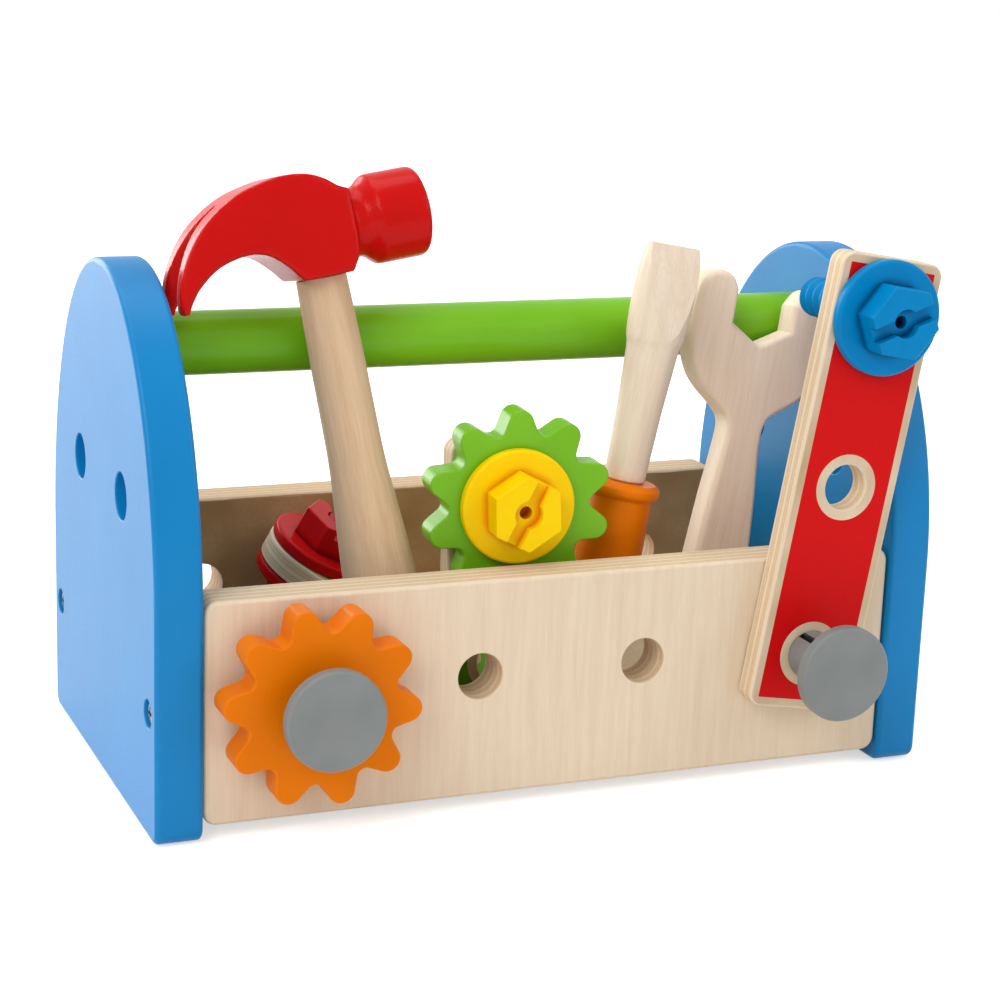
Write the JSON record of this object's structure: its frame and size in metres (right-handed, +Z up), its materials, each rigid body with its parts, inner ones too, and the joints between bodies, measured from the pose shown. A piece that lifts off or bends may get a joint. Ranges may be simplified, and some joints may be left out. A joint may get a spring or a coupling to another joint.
{
  "type": "toy tool box",
  "caption": "Wooden toy tool box with a rod handle, holding a hammer, screwdriver, wrench, drilled strips, gears, pegs, bolts and nuts.",
  "frame": {"origin": "middle of the underside of everything at rest, on the surface that the end panels stand on", "axes": "+X to the right along the box, +Y to the back, +Z up"},
  "size_m": [0.24, 0.1556, 0.1782],
  "materials": {
    "blue_paint": "satin paint on plywood",
    "green_paint": "satin paint on wood",
    "birch_ply": "clear matt lacquer on birch plywood",
    "beech_wood": "sanded, clear matt lacquer",
    "orange_paint": "satin paint on wood",
    "red_paint": "printed paint face on birch plywood",
    "green_face": "printed paint face on birch plywood",
    "red_lacquer": "gloss paint on wood",
    "grey_plastic": "moulded, fine matt texture",
    "blue_plastic": "moulded, satin",
    "yellow_plastic": "moulded, satin",
    "red_plastic": "moulded, satin",
    "screw_steel": "zinc plated"
  },
  "bodies": {
    "box": {"end_panel_left": "blue_paint", "end_panel_right": "blue_paint", "front_panel": "birch_ply", "back_panel": "birch_ply", "base_panel": "birch_ply", "handle_rod": "green_paint", "panel_screw_front_left": "screw_steel", "panel_screw_back_left": "screw_steel", "panel_screw_front_right": "screw_steel", "panel_screw_back_right": "screw_steel"},
    "orange_gear": {"orange_gear": "orange_paint"},
    "left_peg": {"left_peg": "grey_plastic"},
    "red_strip": {"red_strip": "red_paint"},
    "blue_bolt": {"blue_bolt": "blue_plastic"},
    "right_peg": {"right_peg": "grey_plastic"},
    "green_strip": {"green_strip": "green_face"},
    "green_gear": {"green_gear": "green_paint"},
    "yellow_bolt": {"yellow_bolt": "yellow_plastic"},
    "yellow_nut": {"yellow_nut": "yellow_plastic"},
    "round_link": {"round_link": "green_face"},
    "red_bolt": {"red_bolt": "red_plastic"},
    "red_nut": {"red_nut": "red_plastic"},
    "hammer": {"hammer_handle": "beech_wood", "hammer_head": "red_lacquer"},
    "screwdriver": {"screwdriver_handle": "orange_paint", "screwdriver_shaft": "beech_wood"},
    "wrench": {"wrench": "beech_wood"}
  },
  "joints": [
    {"name": "orange_gear_spin", "type": "hinge", "parent": "box", "child": "orange_gear", "pos_m": [-0.0765, -0.0576, 0.0398], "axis": [0, -1, 0], "continuous": true},
    {"name": "left_peg_pull", "type": "slide", "parent": "box", "child": "left_peg", "axis": [0, -1, 0], "range_m": [-0.004, 0.0095]},
    {"name": "red_strip_swing", "type": "hinge", "parent": "box", "child": "red_strip", "pos_m": [0.0765, -0.05255, 0.0398], "axis": [0, 1, 0], "range_deg": [-16, 3.2]},
    {"name": "blue_bolt_spin", "type": "hinge", "parent": "red_strip", "child": "blue_bolt", "pos_m": [0.09316, -0.0567, 0.14043], "axis": [0, -1, 0], "continuous": true},
    {"name": "right_peg_pull", "type": "slide", "parent": "box", "child": "right_peg", "axis": [0, -1, 0], "range_m": [0, 0.008]},
    {"name": "green_strip_lift", "type": "slide", "parent": "box", "child": "green_strip", "axis": [0, -0.2607, 0.9654], "range_m": [0, 0.15]},
    {"name": "green_gear_spin", "type": "hinge", "parent": "green_strip", "child": "green_gear", "pos_m": [-0.00513, -0.01713, 0.0831], "axis": [-0.0872, -0.9962, 0], "continuous": true},
    {"name": "yellow_bolt_spin", "type": "hinge", "parent": "green_strip", "child": "yellow_bolt", "pos_m": [-0.00663, -0.017, 0.0836], "axis": [-0.0872, -0.9962, 0], "continuous": true},
    {"name": "yellow_nut_spin", "type": "hinge", "parent": "green_strip", "child": "yellow_nut", "pos_m": [-0.00663, -0.017, 0.0836], "axis": [-0.0872, -0.9962, 0], "continuous": true},
    {"name": "round_link_lift", "type": "slide", "parent": "box", "child": "round_link", "axis": [0, 0, 1], "range_m": [0, 0.025]},
    {"name": "red_bolt_spin", "type": "hinge", "parent": "round_link", "child": "red_bolt", "pos_m": [-0.0442, 0.0404, 0.05389], "axis": [0.3834, -0.2748, 0.8818], "continuous": true},
    {"name": "red_nut_spin", "type": "hinge", "parent": "round_link", "child": "red_nut", "pos_m": [-0.0442, 0.0404, 0.05389], "axis": [0.3834, -0.2748, 0.8818], "continuous": true},
    {"name": "hammer_lift", "type": "slide", "parent": "box", "child": "hammer", "axis": [-0.162, 0.0982, 0.9819], "range_m": [0, 0.14]},
    {"name": "screwdriver_lift", "type": "slide", "parent": "box", "child": "screwdriver", "axis": [0.1531, -0.0296, 0.9878], "range_m": [0, 0.14]},
    {"name": "wrench_lift", "type": "slide", "parent": "box", "child": "wrench", "axis": [0, 0.0938, 0.9956], "range_m": [0, 0.08]}
  ]
}
